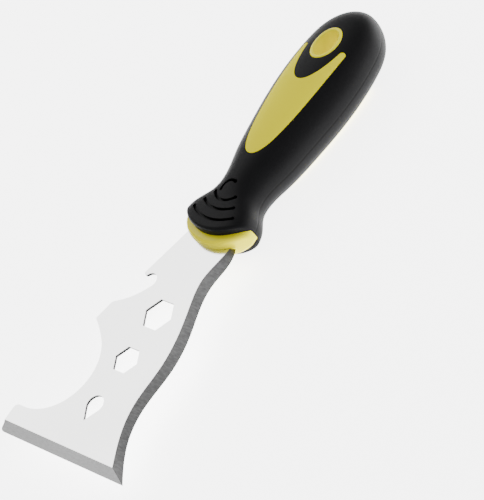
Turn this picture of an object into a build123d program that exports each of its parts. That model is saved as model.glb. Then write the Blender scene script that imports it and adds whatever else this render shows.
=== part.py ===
from build123d import *
import os
from math import sqrt

# Painter's multi tool: a flat stainless blade with a scraping edge, a curved spreader edge, a
# roller-cleaning crescent, a bottle-opener hook, two hex wrench holes and a teardrop nail puller,
# held in a yellow hard-plastic core under a soft black grip.
#
# Millimetres. +X runs along the tool from the scraping edge to the butt, +Y points to the
# roller-cleaning side and +Z out of the front. The tool lies on the rear of its handle, and the
# origin is at the bottom centre of its box.
#
# Sections below give places in the TOOL plane: "along" is measured from the collar line towards
# the butt, "across" towards the roller side, and height from the middle of the blade's thickness.

# ---- Driving dimensions ----
BLADE_REACH = 103.5
HANDLE_LENGTH = 116.0
HANDLE_HALF_DEPTH = 13.1
TOOL_X = (BLADE_REACH - HANDLE_LENGTH) / 2
TOOL = Plane(origin=(TOOL_X, 0, HANDLE_HALF_DEPTH))

BLADE_WIDTH = 76.2
BLADE_THICK = 1.2
EDGE_LAND = 0.2
HALF_BLADE = BLADE_THICK / 2
ROLLER_SIDE = BLADE_WIDTH / 2
SPREADER_SIDE = -BLADE_WIDTH / 2
SCRAPER_BEVEL = 4.5

TANG_THICK = 1.1
TANG_WIDTH = 16.0
TANG_END = 78.0

BIG_HEX_AT = -35.1
BIG_HEX_FLATS = 13.0
SMALL_HEX_AT = -57.2
SMALL_HEX_FLATS = 11.0
TEAR_ROUND_AT = -78.7
TEAR_RADIUS = 4.1
TEAR_TIP_AT = -86.5

# The collar's front is an arc in plan, and the grip's nose is a second arc behind it.
COLLAR_FRONT = -2.0
COLLAR_RADIUS = 21.5
COLLAR_REAR = 10.5
COLLAR_HALF_WIDTH = 18.1
COLLAR_HALF_DEPTH = 5.0
COLLAR_LIP = 1.8
COLLAR_FULLNESS = 0.88
NOSE_FRONT = 2.0
NOSE_RADIUS = 23.0
NOSE_ROUND = 1.5
SHADOW_GAP = 0.4

ROOT_RADIUS = COLLAR_RADIUS + SHADOW_GAP
ROOT_APEX = COLLAR_FRONT - SHADOW_GAP
ROLLER_ROOT = 14.2
CORNER_SIZE = 3.0

# Spreader edge from the collar to the scraping edge, where it is sharp and where its bevel ends.
SPREADER_SHARP = (
    (-5.5, -15.6),
    (-15.0, -14.7),
    (-27.0, -16.8),
    (-40.0, -21.5),
    (-56.0, -23.9),
    (-72.0, -23.2),
    (-86.0, -26.3),
    (-95.5, -31.8),
    (-BLADE_REACH, SPREADER_SIDE),
)
SPREADER_BEVEL = (
    (-6.0, -10.4),
    (-15.0, -9.0),
    (-27.0, -11.9),
    (-40.0, -16.2),
    (-56.0, -18.6),
    (-72.0, -18.4),
    (-86.0, -22.0),
    (-94.0, -26.0),
    (SCRAPER_BEVEL - BLADE_REACH, -28.8),
)
BACK_OUTLINE = (-13.4, SPREADER_SHARP, -BLADE_REACH, ROLLER_SIDE, CORNER_SIZE - BLADE_REACH)
FRONT_OUTLINE = (
    -11.6,
    SPREADER_BEVEL,
    SCRAPER_BEVEL - BLADE_REACH,
    ROLLER_SIDE - CORNER_SIZE / 2,
    SCRAPER_BEVEL - BLADE_REACH,
)

# Sections of the grip's outer form: along, half width, half depth, fullness of the corners.
STATIONS = (
    (-2.0, 17.8, 9.1, 0.88),
    (5.0, 17.9, 9.1, 0.88),
    (11.0, 17.7, 9.1, 0.86),
    (15.5, 15.8, 9.1, 0.80),
    (20.5, 12.4, 9.3, 0.70),
    (26.0, 11.3, 10.0, 0.62),
    (38.0, 13.9, 11.4, 0.61),
    (52.0, 16.4, 12.6, 0.62),
    (66.0, 18.3, 13.1, 0.63),
    (80.0, 19.1, 13.0, 0.64),
    (94.0, 18.0, 12.0, 0.68),
    (104.0, 15.2, 10.9, 0.70),
    (110.0, 11.0, 9.2, 0.70),
    (113.5, 7.0, 6.9, 0.66),
    (115.4, 3.4, 3.8, 0.60),
    (116.0, 1.2, 1.4, 0.56),
)

# The hard core is the same form drawn in by the soft skin's thickness.
SKIN = 3.0
CORE_FRONT = 11.0
CORE_REAR = 110.0

EYELET_AT = 93.6
EYELET_OUTER = (8.25, 6.5)
EYELET_INNER = (6.55, 4.8)
EYELET_PROUD = 0.3
EYELET_ROUND = 0.7

INLAY_GAP = 0.2

# Grooves nested in the thumb pad: apex along the tool, radius, reach across to each end.
PAD_GROOVES = (
    (6.8, 20.3, 11.4),
    (11.8, 14.7, 8.5),
    (16.1, 7.1, 5.8),
)
PAD_RING = ((20.6, 3.6), (24.3, 2.3), (25.2, -1.6))
GROOVE_FLOOR = 7.4
GROOVE_WIDTH = 1.3
GROOVE_END_RADIUS = 0.85

RIVET_RADIUS = 2.0
RIVET_HEAD_RADIUS = 3.5
RIVETS = ((30.0, 6.2), (50.0, 8.0), (69.0, 8.8))

BEYOND = 40.0

os.makedirs("parts", exist_ok=True)


def arc_front(apex, radius, across):
    """Place along the tool, at a distance across, of an arc whose foremost point is the apex."""
    return apex + radius - sqrt(radius**2 - across**2)


def handle_section(along, half_width, half_depth, fullness):
    """Closed section across the handle, made of four quarter curves that meet square."""
    plane = Plane(TOOL.from_local_coords((along, 0, 0)), x_dir=(0, 1, 0), z_dir=(1, 0, 0))
    with BuildSketch(plane) as section:
        with BuildLine():
            for side, height in ((1, 1), (-1, 1), (-1, -1), (1, -1)):
                Bezier(
                    (side * half_width, 0),
                    (side * half_width, height * fullness * half_depth),
                    (side * fullness * half_width, height * half_depth),
                    (0, height * half_depth),
                )
        make_face()
    return section.sketch


def handle_form(inset=0.0, start=STATIONS[0][0], end=HANDLE_LENGTH):
    """The handle's outer form, or the same form drawn in all round by the inset."""
    with BuildPart() as form:
        for along, half_width, half_depth, fullness in STATIONS:
            if start <= along <= end:
                add(handle_section(along, half_width - inset, half_depth - inset, fullness))
        loft()
    return form.part


def behind_arc(apex, radius):
    """Everything behind an arc across the tool, as a block for trimming."""
    edge = 0.95 * radius
    corner = arc_front(apex, radius, edge)
    with BuildPart() as block:
        with BuildSketch(TOOL):
            with BuildLine():
                ThreePointArc((corner, -edge), (apex, 0), (corner, edge))
                rear = 2 * HANDLE_LENGTH
                Polyline((corner, edge), (rear, edge), (rear, -edge), (corner, -edge))
            make_face()
        extrude(amount=BEYOND, both=True)
    return block.part


# ---- Blade ----
def blade_face(height, spreader_root_across, spreader_points, edge_at, corner_pull, side_end):
    """The blade's outline at a height: the spreader and scraping edges move in as it rises."""
    spreader_root = (arc_front(ROOT_APEX, ROOT_RADIUS, spreader_root_across), spreader_root_across)
    roller_root = (arc_front(ROOT_APEX, ROOT_RADIUS, ROLLER_ROOT), ROLLER_ROOT)
    mitre = spreader_points[-1]
    corner_start = (edge_at, ROLLER_SIDE - CORNER_SIZE)
    with BuildSketch(TOOL.offset(height)) as face:
        with BuildLine():
            Spline(spreader_root, *spreader_points)
            Line(mitre, corner_start)
            Bezier(corner_start, (edge_at, corner_pull), (side_end, ROLLER_SIDE))
            Line((side_end, ROLLER_SIDE), (-93.2, ROLLER_SIDE))
            # Shoulder, then the crescent that strips paint off a roller.
            ThreePointArc((-93.2, ROLLER_SIDE), (-91.6, 37.4), (-91.0, 35.8))
            Line((-91.0, 35.8), (-91.0, 33.1))
            ThreePointArc((-91.0, 33.1), (-69.5, 11.6), (-53.4, 18.8))
            Spline((-53.4, 18.8), (-49.4, 23.6), (-46.3, 28.3))
            ThreePointArc((-46.3, 28.3), (-45.5, 28.9), (-44.7, 28.7))
            Line((-44.7, 28.7), (-37.6, 26.9))
            # Bottle opener: a sloping lip, a round throat and a hooked tooth.
            ThreePointArc((-37.6, 26.9), (-36.9, 26.5), (-36.4, 25.8))
            Spline((-36.4, 25.8), (-31.6, 18.8), (-25.3, 13.5))
            ThreePointArc((-25.3, 13.5), (-20.0, 14.3), (-20.7, 18.6))
            ThreePointArc((-20.7, 18.6), (-21.4, 19.9), (-20.4, 21.0))
            Line((-20.4, 21.0), roller_root)
            ThreePointArc(roller_root, (ROOT_APEX, 0), spreader_root)
        make_face()
    return face.sketch


def teardrop():
    """A round hole drawn out to a point towards the scraping edge."""
    reach = TEAR_ROUND_AT - TEAR_TIP_AT
    lean = TEAR_RADIUS**2 / reach
    rise = TEAR_RADIUS * sqrt(1 - (TEAR_RADIUS / reach) ** 2)
    upper = (TEAR_ROUND_AT - lean, rise)
    lower = (TEAR_ROUND_AT - lean, -rise)
    with BuildSketch(TOOL.offset(-BLADE_THICK)) as hole:
        with BuildLine():
            Line((TEAR_TIP_AT, 0), upper)
            ThreePointArc(upper, (TEAR_ROUND_AT + TEAR_RADIUS, 0), lower)
            Line(lower, (TEAR_TIP_AT, 0))
        make_face()
    return hole.sketch


def hex_hole(at, across_flats):
    """A wrench hole with two of its flats square to the tool."""
    with BuildSketch(TOOL.offset(-BLADE_THICK)) as hole:
        with Locations((at, 0)):
            RegularPolygon(across_flats / 2, 6, major_radius=False, rotation=30)
    return hole.sketch


def rivet_holes():
    """Shank holes for the tang rivets, through everything at their places."""
    with BuildSketch(TOOL.offset(-BEYOND)) as holes:
        for along, _ in RIVETS:
            with Locations((along, 0)):
                Circle(RIVET_RADIUS)
    return holes.sketch


with BuildPart() as tang_form:
    with BuildSketch(TOOL.offset(-TANG_THICK / 2)):
        Polygon(
            (COLLAR_REAR + 4, 13.0),
            (3.0, 13.0),
            (COLLAR_FRONT - 1.0, 8.0),
            (COLLAR_FRONT - 1.0, -8.0),
            (3.0, -11.0),
            (COLLAR_REAR + 4, -11.0),
            (COLLAR_REAR + 4, -TANG_WIDTH / 2),
            (TANG_END, -TANG_WIDTH / 2),
            (TANG_END, TANG_WIDTH / 2),
            (COLLAR_REAR + 4, TANG_WIDTH / 2),
            align=None,
        )
    extrude(amount=TANG_THICK)
    fillet(tang_form.edges().filter_by(Axis.Z).group_by(Axis.X)[-1], 3.0)

with BuildPart() as blade_back:
    add(blade_face(-HALF_BLADE, *BACK_OUTLINE))
    extrude(amount=EDGE_LAND)

with BuildPart() as blade:
    add(blade_face(-HALF_BLADE + EDGE_LAND, *BACK_OUTLINE))
    add(blade_face(HALF_BLADE, *FRONT_OUTLINE))
    loft(ruled=True)
    add(blade_back.part)
    for hole in (
        hex_hole(BIG_HEX_AT, BIG_HEX_FLATS),
        hex_hole(SMALL_HEX_AT, SMALL_HEX_FLATS),
        teardrop(),
    ):
        extrude(hole, amount=2 * BLADE_THICK, mode=Mode.SUBTRACT)
    add(tang_form.part)
    extrude(rivet_holes(), amount=2 * BEYOND, mode=Mode.SUBTRACT)
blade.part.label = "blade"
export_step(blade.part, "parts/blade.step")


# ---- Forms that several pieces are trimmed with ----
def oval(half_length, half_width, gap=0.0):
    """A tall oval column round the hang hole."""
    with BuildPart() as column:
        with BuildSketch(TOOL):
            with Locations((EYELET_AT, 0)):
                Ellipse(half_length + gap, half_width + gap)
        extrude(amount=BEYOND, both=True)
    return column.part


def inlay_outline(grow=0.0):
    """The inlay's swallow-tailed outline, or the window that clears it by the growth."""
    nose = (38.0 - grow, 0)
    shoulder = (50.5, 8.1 + grow)
    horn_outside = (90.6, 12.2 + grow)
    horn_inside = (90.9, 9.6 - grow)
    notch = (74.6 + grow, 0)
    with BuildSketch(TOOL) as outline:
        with BuildLine():
            Bezier(nose, (38.0 - grow, 3.6 + grow), (42.5 - grow, 6.2 + grow), shoulder)
            Bezier(shoulder, (61.2, 10.64 + grow), (77.0, 12.2 + grow), horn_outside)
            ThreePointArc(horn_outside, (92.0 + grow, 10.8), horn_inside)
            Bezier(horn_inside, (84.5, 8.6 - grow), (74.6 + grow, 5.6), notch)
            Line(notch, nose)
        make_face()
        mirror(about=Plane.XZ)
    return outline.sketch


outer = handle_form()
core_form = handle_form(SKIN, CORE_FRONT, CORE_REAR)
nose_block = behind_arc(NOSE_FRONT, NOSE_RADIUS)
collar_block = behind_arc(COLLAR_FRONT, COLLAR_RADIUS)

# ---- Collar ----
with BuildPart() as collar:
    for along in (COLLAR_FRONT - 2, COLLAR_REAR):
        add(handle_section(along, COLLAR_HALF_WIDTH, COLLAR_HALF_DEPTH, COLLAR_FULLNESS))
    loft(ruled=True)
    add(collar_block, mode=Mode.INTERSECT)
    fillet(collar.faces().sort_by(Axis.X)[0].edges(), COLLAR_LIP)
    add(tang_form.part, mode=Mode.SUBTRACT)
collar.part.label = "collar"
export_step(collar.part, "parts/collar.step")

# ---- Hang-hole eyelet ----
with BuildPart() as eyelet:
    add(handle_form(-EYELET_PROUD, 66.0, 110.0))
    add(oval(*EYELET_OUTER), mode=Mode.INTERSECT)
    add(oval(*EYELET_INNER), mode=Mode.SUBTRACT)
    rims = eyelet.faces().sort_by(Axis.Z)
    fillet(rims[-1].edges() + rims[0].edges(), EYELET_ROUND)
eyelet.part.label = "hang_hole_eyelet"
export_step(eyelet.part, "parts/hang_hole_eyelet.step")

# ---- Inlays, one in each face of the handle ----
with BuildPart() as front_inlay:
    add(outer)
    extrude(inlay_outline(), amount=BEYOND, mode=Mode.INTERSECT)
    add(core_form, mode=Mode.SUBTRACT)
front_inlay.part.label = "front_inlay"
export_step(front_inlay.part, "parts/front_inlay.step")

with BuildPart() as rear_inlay:
    mirror(front_inlay.part, about=TOOL)
rear_inlay.part.label = "rear_inlay"
export_step(rear_inlay.part, "parts/rear_inlay.step")

# ---- Rivets through the core and the tang ----
with BuildPart() as rivets:
    for along, seat in RIVETS:
        with BuildSketch(TOOL.offset(-BEYOND)):
            with Locations((along, 0)):
                Circle(RIVET_RADIUS)
        extrude(amount=2 * BEYOND)
        for plane in (TOOL.offset(seat), TOOL.offset(-seat)):
            with BuildSketch(plane):
                with Locations((along, 0)):
                    Circle(RIVET_HEAD_RADIUS)
            extrude(amount=BEYOND if plane.origin.Z > TOOL.origin.Z else -BEYOND)
    add(core_form, mode=Mode.INTERSECT)
rivets.part.label = "tang_rivets"
export_step(rivets.part, "parts/tang_rivets.step")

# ---- Core halves, moulded in hard plastic and closed over the tang ----
with BuildPart() as core:
    add(core_form)
    for inner in (collar.part, tang_form.part, rivets.part, oval(*EYELET_OUTER)):
        add(inner, mode=Mode.SUBTRACT)
for name, keep in (("core_front_half", Keep.TOP), ("core_rear_half", Keep.BOTTOM)):
    with BuildPart() as half:
        add(core.part)
        split(bisect_by=TOOL, keep=keep)
    half.part.label = name
    export_step(half.part, f"parts/{name}.step")

# ---- Soft grip moulded over the core ----
pad_arcs = [PAD_RING]
for apex, radius, across in PAD_GROOVES:
    end = arc_front(apex, radius, across)
    pad_arcs.append(((end, -across), (apex, 0), (end, across)))

with BuildPart() as grip:
    add(outer)
    add(nose_block, mode=Mode.INTERSECT)
    fillet(grip.faces().sort_by(Axis.X)[0].edges(), NOSE_ROUND)
    with BuildSketch(TOOL.offset(GROOVE_FLOOR)):
        for start, apex, end in pad_arcs:
            with BuildLine():
                ThreePointArc(start, apex, end)
            trace(line_width=GROOVE_WIDTH)
            with Locations(start, end):
                Circle(GROOVE_END_RADIUS)
    extrude(amount=BEYOND, mode=Mode.SUBTRACT)
    extrude(inlay_outline(INLAY_GAP), amount=BEYOND, both=True, mode=Mode.SUBTRACT)
    for inner in (oval(*EYELET_OUTER), core_form, collar.part, tang_form.part):
        add(inner, mode=Mode.SUBTRACT)
grip.part.label = "grip_overmould"
export_step(grip.part, "parts/grip_overmould.step")
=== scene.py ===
import math

import bpy
from mathutils import Matrix, Vector

# The camera, in metres in the row's frame, and its roll about its own axis.
CAMERA_AT = (-0.32563, -0.91034, 0.83494)
CAMERA_TARGET = (-0.00370, -0.01721, 0.01310)
CAMERA_ROLL_DEGREES = -41.48
CAMERA_LENS_MM = 231.73
SENSOR_MM = 36.0
FAR_CLIP = 50.0

# The handle's mid-depth, where the two halves of its mould met.
PARTING_HEIGHT = 0.0131

FLOOR_SIZE = 12.0
FLOOR_GLOW = 5.0
SKY_STRENGTH = 0.8
WHITE = (1.0, 1.0, 1.0, 1.0)

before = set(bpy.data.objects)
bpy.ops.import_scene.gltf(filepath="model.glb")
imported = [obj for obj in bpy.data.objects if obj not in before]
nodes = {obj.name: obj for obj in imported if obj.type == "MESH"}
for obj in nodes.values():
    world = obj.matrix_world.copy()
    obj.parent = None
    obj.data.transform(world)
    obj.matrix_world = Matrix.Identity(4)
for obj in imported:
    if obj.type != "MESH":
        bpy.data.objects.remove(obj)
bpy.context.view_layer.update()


# ---- Materials ----
class Shader:
    """A material under construction: short calls that add nodes and join them."""

    def __init__(self, name):
        self.material = bpy.data.materials.new(name)
        self.material.use_nodes = True
        self.tree = self.material.node_tree
        self.tree.nodes.clear()
        self.output = self.tree.nodes.new("ShaderNodeOutputMaterial")
        self.surface = self.tree.nodes.new("ShaderNodeBsdfPrincipled")
        self.join(self.surface.outputs["BSDF"], self.output.inputs["Surface"])
        coordinates = self.tree.nodes.new("ShaderNodeTexCoord")
        self.place = coordinates.outputs["Object"]
        geometry = self.tree.nodes.new("ShaderNodeNewGeometry")
        normal = self.tree.nodes.new("ShaderNodeSeparateXYZ")
        self.join(geometry.outputs["Normal"], normal.inputs[0])
        self.normal = normal.outputs
        position = self.tree.nodes.new("ShaderNodeSeparateXYZ")
        self.join(self.place, position.inputs[0])
        self.position = position.outputs

    def join(self, source, target):
        self.tree.links.new(source, target)

    def feed(self, socket, value):
        if isinstance(value, bpy.types.NodeSocket):
            self.join(value, socket)
        else:
            socket.default_value = value

    def set(self, **values):
        for name, value in values.items():
            self.feed(self.surface.inputs[name.replace("_", " ")], value)

    def math(self, operation, first, second=0.0, third=None):
        node = self.tree.nodes.new("ShaderNodeMath")
        node.operation = operation
        self.feed(node.inputs[0], first)
        self.feed(node.inputs[1], second)
        if third is not None:
            self.feed(node.inputs[2], third)
        return node.outputs[0]

    def ramp(self, value, low, high, start=0.0, end=1.0):
        """A smooth step of a value from start to end as it goes from low to high."""
        node = self.tree.nodes.new("ShaderNodeMapRange")
        node.interpolation_type = "SMOOTHSTEP"
        self.feed(node.inputs["Value"], value)
        node.inputs["From Min"].default_value = low
        node.inputs["From Max"].default_value = high
        node.inputs["To Min"].default_value = start
        node.inputs["To Max"].default_value = end
        return node.outputs[0]

    def noise(self, scale, detail=3.0, roughness=0.55, stretch=(1.0, 1.0, 1.0), turn=0.0):
        mapping = self.tree.nodes.new("ShaderNodeMapping")
        mapping.inputs["Scale"].default_value = stretch
        mapping.inputs["Rotation"].default_value = (0.0, 0.0, turn)
        self.join(self.place, mapping.inputs["Vector"])
        node = self.tree.nodes.new("ShaderNodeTexNoise")
        node.inputs["Scale"].default_value = scale
        node.inputs["Detail"].default_value = detail
        node.inputs["Roughness"].default_value = roughness
        self.join(mapping.outputs[0], node.inputs["Vector"])
        return node.outputs[0]

    def mix(self, share, first, second):
        node = self.tree.nodes.new("ShaderNodeMix")
        node.data_type = "RGBA"
        self.feed(node.inputs["Factor"], share)
        for socket, colour in ((node.inputs[6], first), (node.inputs[7], second)):
            if not isinstance(colour, bpy.types.NodeSocket):
                colour = (*colour, 1.0)
            self.feed(socket, colour)
        return node.outputs[2]

    def bump(self, height, strength, distance):
        node = self.tree.nodes.new("ShaderNodeBump")
        node.inputs["Strength"].default_value = strength
        node.inputs["Distance"].default_value = distance
        self.join(height, node.inputs["Height"])
        self.join(node.outputs[0], self.surface.inputs["Normal"])


def steel():
    """Polished stainless sheet with grind-marked bevels; the bevels' darker tone and the near-black
    blanked edges are painted shade.
    """
    shader = Shader("stainless_steel")
    cloud = shader.noise(28.0, 3.0)
    rolled = shader.noise(700.0, 4.0, stretch=(0.06, 1.0, 1.0))
    scraper_grind = shader.noise(2400.0, 5.0, 0.7, stretch=(1.0, 0.25, 1.0))
    spreader_grind = shader.noise(1100.0, 5.0, 0.7, stretch=(1.0, 0.2, 1.0))
    scraper = shader.ramp(shader.math("MULTIPLY", shader.normal[0], -1.0), 0.10, 0.16)
    spreader = shader.ramp(shader.math("MULTIPLY", shader.normal[1], -1.0), 0.08, 0.14)
    level = shader.math("ABSOLUTE", shader.normal[2])
    # Painted shade: the cut edges, whose faces stand up from the blade's plane, are painted near
    # black as a dark outline.
    painted_dark_edge = shader.ramp(level, 0.90, 0.60)
    face = shader.mix(cloud, (0.80, 0.80, 0.79), (0.88, 0.88, 0.87))
    face = shader.mix(shader.math("MULTIPLY", rolled, 0.12), face, (0.60, 0.60, 0.60))
    # The scraper bevel has real grind streaks, and its tone darker than the blade face is painted
    # shade of the tilted facet.
    grind_and_painted_shade = shader.mix(scraper_grind, (0.32, 0.32, 0.32), (0.70, 0.70, 0.70))
    # The spreader bevel's near-black colour is painted shade, standing in for the dark surroundings
    # its tilted facet reflects; the grind streaks in it are real.
    dark = shader.mix(spreader_grind, (0.02, 0.02, 0.02), (0.22, 0.22, 0.22))
    colour = shader.mix(scraper, face, grind_and_painted_shade)
    colour = shader.mix(spreader, colour, dark)
    colour = shader.mix(painted_dark_edge, colour, (0.012, 0.012, 0.012))
    bevels = shader.math("MAXIMUM", scraper, spreader)
    polish = shader.ramp(cloud, 0.3, 0.7, 0.16, 0.24)
    roughness = shader.math("MULTIPLY_ADD", bevels, 0.18, polish)
    shader.set(Base_Color=colour, Metallic=1.0, Roughness=roughness)
    faint_rolled = shader.math("MULTIPLY", rolled, 0.10)
    height = shader.math("MULTIPLY_ADD", spreader_grind, bevels, faint_rolled)
    shader.bump(height, 0.12, 0.0001)
    return shader.material


def gloss_yellow(name, low, high):
    """Hard glossy plastic with the faint orange peel of a mould."""
    shader = Shader(name)
    cloud = shader.noise(60.0, 2.0)
    peel = shader.noise(900.0, 2.0)
    shader.set(
        Base_Color=shader.mix(cloud, low, high),
        Roughness=shader.ramp(peel, 0.3, 0.7, 0.20, 0.28),
        Specular_IOR_Level=0.14,
    )
    shader.bump(peel, 0.05, 0.0001)
    return shader.material


def matte_yellow():
    """Finely spark-textured plastic."""
    shader = Shader("yellow_matte_plastic")
    grain = shader.noise(3200.0, 3.0, 0.6)
    cloud = shader.noise(40.0, 2.0)
    colour = shader.mix(cloud, (0.78, 0.70, 0.0), (0.86, 0.78, 0.0))
    colour = shader.mix(shader.math("MULTIPLY", grain, 0.25), colour, (0.62, 0.54, 0.0))
    matte = shader.ramp(grain, 0.3, 0.7, 0.58, 0.72)
    shader.set(Base_Color=colour, Roughness=matte, Specular_IOR_Level=0.08)
    shader.bump(grain, 0.25, 0.00012)
    return shader.material


def soft_black():
    """Soft rubbery plastic, with a fine grain and a dark parting line at mid-depth."""
    shader = Shader("black_soft_grip")
    grain = shader.noise(2600.0, 3.0, 0.6)
    cloud = shader.noise(35.0, 3.0)
    colour = shader.mix(cloud, (0.003, 0.003, 0.0035), (0.007, 0.007, 0.0075))
    off_middle = shader.math("ABSOLUTE", shader.math("SUBTRACT", shader.position[2], PARTING_HEIGHT))
    parting = shader.ramp(off_middle, 0.0002, 0.0006, 0.0, 1.0)
    colour = shader.mix(parting, (0.002, 0.002, 0.002), colour)
    satin = shader.ramp(grain, 0.3, 0.7, 0.42, 0.54)
    shader.set(Base_Color=colour, Roughness=satin, Specular_IOR_Level=0.06)
    height = shader.math("MULTIPLY_ADD", parting, 3.0, grain)
    shader.bump(height, 0.18, 0.00012)
    return shader.material


def rivet_steel():
    """Plain steel, dulled unevenly."""
    shader = Shader("rivet_steel")
    turned = shader.noise(900.0, 3.0)
    colour = shader.mix(turned, (0.42, 0.42, 0.42), (0.60, 0.60, 0.60))
    dull = shader.ramp(turned, 0.3, 0.7, 0.28, 0.42)
    shader.set(Base_Color=colour, Metallic=1.0, Roughness=dull)
    return shader.material


def dress(material, *names):
    for name in names:
        nodes[name].data.materials.clear()
        nodes[name].data.materials.append(material)


hard_yellow = gloss_yellow("yellow_hard_plastic", (0.72, 0.64, 0.0), (0.80, 0.72, 0.0))
pale_yellow = gloss_yellow("eyelet_plastic", (0.80, 0.73, 0.0), (0.88, 0.80, 0.01))
dress(steel(), "blade")
dress(hard_yellow, "collar", "core_front_half", "core_rear_half")
dress(pale_yellow, "hang_hole_eyelet")
dress(matte_yellow(), "front_inlay", "rear_inlay")
dress(soft_black(), "grip_overmould")
dress(rivet_steel(), "tang_rivets")

# ---- Floor, sky and lights ----
bpy.ops.mesh.primitive_plane_add(size=FLOOR_SIZE, location=(0.0, 0.0, 0.0))
floor = bpy.context.object
floor.name = "floor"
paper = Shader("floor_paper")
tone = paper.mix(paper.noise(3.0, 2.0), (0.93, 0.93, 0.93), (0.95, 0.95, 0.95))
paper.set(Base_Color=tone, Roughness=0.9, Emission_Color=WHITE, Emission_Strength=FLOOR_GLOW)
floor.data.materials.append(paper.material)

world = bpy.data.worlds.new("studio")
bpy.context.scene.world = world
world.use_nodes = True
sky = world.node_tree.nodes["Background"]
sky.inputs["Color"].default_value = WHITE
sky.inputs["Strength"].default_value = SKY_STRENGTH


def softbox(name, place, target, width, height, power):
    """A rectangular light that faces its target."""
    light = bpy.data.lights.new(name, "AREA")
    light.shape = "RECTANGLE"
    light.size = width
    light.size_y = height
    light.energy = power
    lamp = bpy.data.objects.new(name, light)
    lamp.location = place
    beam = Vector(target) - Vector(place)
    lamp.rotation_euler = beam.to_track_quat("-Z", "Y").to_euler()
    bpy.context.scene.collection.objects.link(lamp)


softbox("key_light", (0.34, 0.93, 0.86), (0.0, 0.0, 0.013), 0.8, 0.8, 7.5)
softbox("fill_light", (0.9, -0.6, 0.5), (0.05, 0.0, 0.013), 0.5, 0.3, 2.0)

# ---- Camera ----
sight = Vector(CAMERA_TARGET) - Vector(CAMERA_AT)
aim = sight.to_track_quat("-Z", "Y").to_matrix()
roll = Matrix.Rotation(math.radians(CAMERA_ROLL_DEGREES), 3, "Z")
camera_data = bpy.data.cameras.new("camera")
camera_data.lens = CAMERA_LENS_MM
camera_data.sensor_width = SENSOR_MM
camera_data.clip_end = FAR_CLIP
camera = bpy.data.objects.new("camera", camera_data)
camera.matrix_world = Matrix.Translation(CAMERA_AT) @ (aim @ roll).to_4x4()
bpy.context.scene.collection.objects.link(camera)
bpy.context.scene.camera = camera
